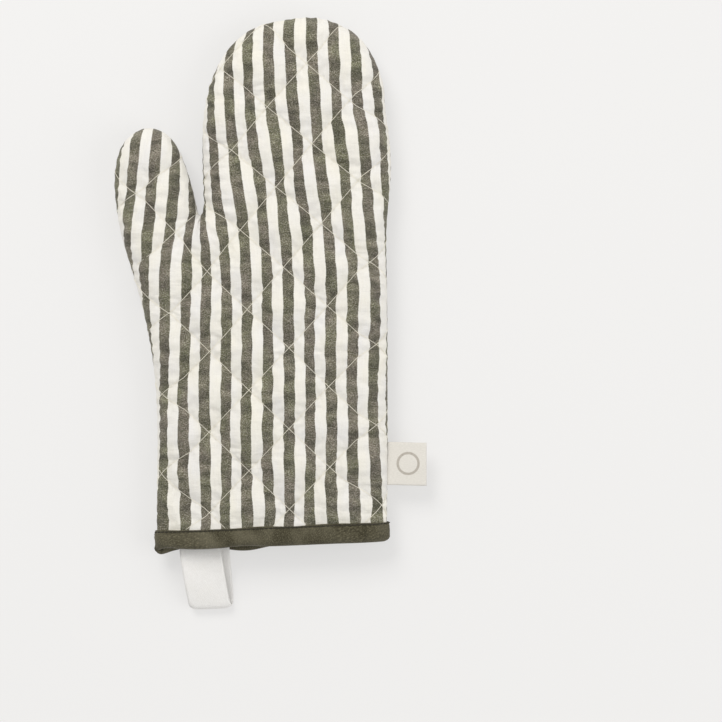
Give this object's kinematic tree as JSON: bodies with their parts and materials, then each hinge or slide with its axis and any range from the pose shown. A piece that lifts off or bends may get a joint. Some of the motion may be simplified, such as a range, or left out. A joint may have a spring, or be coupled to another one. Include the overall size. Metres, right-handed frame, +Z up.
{
  "type": "oven mitt",
  "caption": "Quilted cotton oven mitt with a thumb, lying flat: striped shells, wadding, lining, a dark bound cuff, a tape hanging loop and a plain folded side label.",
  "frame": {"origin": "under the middle of the whole object's bounding box, on the surface the mitt lies on", "axes": "+Y from the cuff to the fingertips, +Z up out of the front panel, thumb on -X"},
  "size_m": [0.1922, 0.3656, 0.027],
  "materials": {
    "striped_cotton": "matt woven cotton, olive-grey and warm cream stripes 6.7 mm wide, quilted",
    "wadding": "matt cotton wadding",
    "lining_cotton": "matt plain cotton",
    "binding_cotton": "matt dark olive woven cotton",
    "dark_thread": "satin dark olive sewing thread",
    "white_tape": "matt white twill tape",
    "label_tape": "smooth off-white woven label tape with a plain printed ring"
  },
  "bodies": {
    "palm": {"front_shell_palm": "striped_cotton", "front_wadding_palm": "wadding", "front_lining_palm": "lining_cotton", "back_shell_palm": "striped_cotton", "back_wadding_palm": "wadding", "back_lining_palm": "lining_cotton", "cuff_binding": "binding_cotton", "cuff_stitching": "dark_thread", "loop_ends": "white_tape", "loop_bar_tack": "white_tape"},
    "thumb": {"front_shell_thumb": "striped_cotton", "front_wadding_thumb": "wadding", "front_lining_thumb": "lining_cotton", "back_shell_thumb": "striped_cotton", "back_wadding_thumb": "wadding", "back_lining_thumb": "lining_cotton"},
    "fingers": {"front_shell_fingers": "striped_cotton", "front_wadding_fingers": "wadding", "front_lining_fingers": "lining_cotton", "back_shell_fingers": "striped_cotton", "back_wadding_fingers": "wadding", "back_lining_fingers": "lining_cotton"},
    "loop": {"hanging_loop": "white_tape"},
    "label": {"side_label": "label_tape"}
  },
  "joints": [
    {"name": "thumb_fold", "type": "hinge", "parent": "palm", "child": "thumb", "pos_m": [-0.0567, 0.07564, 0.0135], "axis": [0.7422, 0.6702, 0], "range_deg": [-60, 60], "stiffness_Nm_per_rad": 0.02},
    {"name": "finger_fold", "type": "hinge", "parent": "palm", "child": "fingers", "pos_m": [0, 0.082, 0.0135], "axis": [1, 0, 0], "range_deg": [-60, 60], "stiffness_Nm_per_rad": 0.05},
    {"name": "loop_swing", "type": "hinge", "parent": "palm", "child": "loop", "pos_m": [-0.04029, -0.14752, 0.0114], "axis": [-0.9991, -0.0429, 0], "range_deg": [-60, 90]},
    {"name": "label_flap", "type": "hinge", "parent": "palm", "child": "label", "pos_m": [0.0732, -0.0922, 0.0135], "axis": [0, -1, 0], "range_deg": [-80, 80], "stiffness_Nm_per_rad": 0.001}
  ]
}
